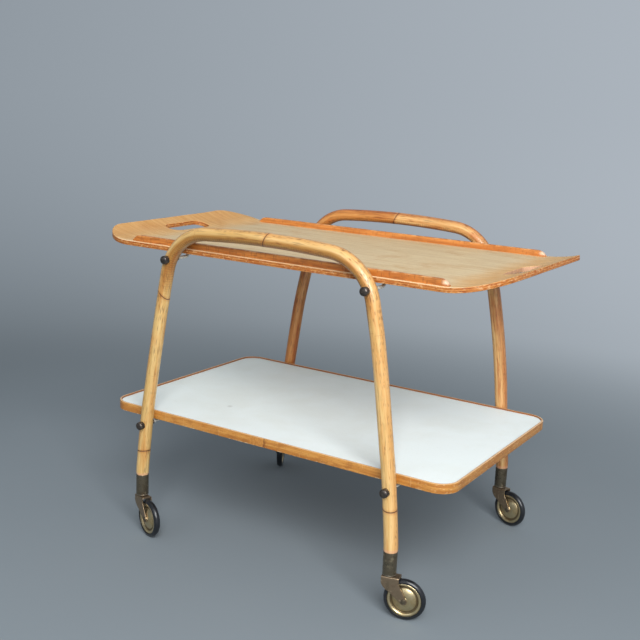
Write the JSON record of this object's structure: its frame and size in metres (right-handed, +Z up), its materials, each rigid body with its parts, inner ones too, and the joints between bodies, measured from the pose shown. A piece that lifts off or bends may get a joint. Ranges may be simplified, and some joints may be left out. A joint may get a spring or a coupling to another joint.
{
  "type": "tea trolley",
  "caption": "Cane tea trolley with bent plywood tray, white laminate shelf and swivelling casters.",
  "frame": {"origin": "on the floor under the middle of the trolley", "axes": "+X along the trolley, from the left end to the right end, +Y from the front hoop to the back hoop, +Z up"},
  "size_m": [0.876, 0.5596, 0.6465],
  "materials": {
    "cane": "varnished straw-coloured cane with dark node rings",
    "ferrule": "dark patinated sheet brass",
    "steel_pins": "dull steel",
    "rod_enamel": "off-white enamel",
    "cap_bronze": "dark bronzed steel",
    "fixings": "zinc-plated steel",
    "shelf_board": "raw board",
    "laminate": "white satin laminate",
    "edge_band": "worn honey varnish",
    "sleeves": "soft rubber",
    "tray_ply": "varnished bent plywood, darker edge",
    "tray_batten": "varnished reddish-brown wood",
    "fork_bronze": "bronze-coloured sheet steel",
    "wheel_brass": "pressed brass, dulled",
    "tyre": "black rubber"
  },
  "bodies": {
    "frame": {"front_hoop": "cane", "back_hoop": "cane", "ferrule_front_left": "ferrule", "ferrule_front_right": "ferrule", "ferrule_back_left": "ferrule", "ferrule_back_right": "ferrule", "socket_front_left": "steel_pins", "socket_front_right": "steel_pins", "socket_back_left": "steel_pins", "socket_back_right": "steel_pins", "rod_upper_left": "rod_enamel", "rod_upper_right": "rod_enamel", "rod_lower_left": "rod_enamel", "rod_lower_right": "rod_enamel", "cap_upper_front_left": "cap_bronze", "cap_upper_front_right": "cap_bronze", "cap_upper_back_left": "cap_bronze", "cap_upper_back_right": "cap_bronze", "cap_lower_front_left": "cap_bronze", "cap_lower_front_right": "cap_bronze", "cap_lower_back_left": "cap_bronze", "cap_lower_back_right": "cap_bronze", "nuts_upper_left": "fixings", "nuts_upper_right": "fixings", "nuts_lower_left": "fixings", "nuts_lower_right": "fixings", "shelf_core": "shelf_board", "shelf_laminate": "laminate", "shelf_band": "edge_band", "shelf_clips_left": "fixings", "shelf_clips_right": "fixings", "shelf_screws_left": "fixings", "shelf_screws_right": "fixings", "tray_sleeves_left": "sleeves", "tray_sleeves_right": "sleeves"},
    "tray": {"tray_board": "tray_ply", "tray_batten_front": "tray_batten", "tray_batten_back": "tray_batten", "tray_screws_front": "fixings", "tray_screws_back": "fixings"},
    "caster_front_left": {"fork_front_left": "fork_bronze", "stem_front_left": "steel_pins", "axle_front_left": "steel_pins"},
    "roller_front_left": {"wheel_front_left": "wheel_brass", "tyre_front_left": "tyre"},
    "caster_front_right": {"fork_front_right": "fork_bronze", "stem_front_right": "steel_pins", "axle_front_right": "steel_pins"},
    "roller_front_right": {"wheel_front_right": "wheel_brass", "tyre_front_right": "tyre"},
    "caster_back_left": {"fork_back_left": "fork_bronze", "stem_back_left": "steel_pins", "axle_back_left": "steel_pins"},
    "roller_back_left": {"wheel_back_left": "wheel_brass", "tyre_back_left": "tyre"},
    "caster_back_right": {"fork_back_right": "fork_bronze", "stem_back_right": "steel_pins", "axle_back_right": "steel_pins"},
    "roller_back_right": {"wheel_back_right": "wheel_brass", "tyre_back_right": "tyre"}
  },
  "joints": [
    {"name": "tray_lift", "type": "slide", "parent": "frame", "child": "tray", "axis": [0, 0, 1], "range_m": [0, 0.12]},
    {"name": "swivel_front_left", "type": "hinge", "parent": "frame", "child": "caster_front_left", "pos_m": [-0.286, -0.2534, 0.079], "axis": [0, 0, 1], "continuous": true},
    {"name": "spin_front_left", "type": "hinge", "parent": "caster_front_left", "child": "roller_front_left", "pos_m": [-0.25781, -0.26366, 0.038], "axis": [0.342, 0.9397, 0], "continuous": true},
    {"name": "swivel_front_right", "type": "hinge", "parent": "frame", "child": "caster_front_right", "pos_m": [0.286, -0.2534, 0.079], "axis": [0, 0, 1], "continuous": true},
    {"name": "spin_front_right", "type": "hinge", "parent": "caster_front_right", "child": "roller_front_right", "pos_m": [0.31511, -0.24614, 0.038], "axis": [-0.2419, 0.9703, 0], "continuous": true},
    {"name": "swivel_back_left", "type": "hinge", "parent": "frame", "child": "caster_back_left", "pos_m": [-0.286, 0.2534, 0.079], "axis": [0, 0, 1], "continuous": true},
    {"name": "spin_back_left", "type": "hinge", "parent": "caster_back_left", "child": "roller_back_left", "pos_m": [-0.27192, 0.22691, 0.038], "axis": [0.8829, 0.4695, 0], "continuous": true},
    {"name": "swivel_back_right", "type": "hinge", "parent": "frame", "child": "caster_back_right", "pos_m": [0.286, 0.2534, 0.079], "axis": [0, 0, 1], "continuous": true},
    {"name": "spin_back_right", "type": "hinge", "parent": "caster_back_right", "child": "roller_back_right", "pos_m": [0.31511, 0.24614, 0.038], "axis": [0.2419, 0.9703, 0], "continuous": true}
  ]
}
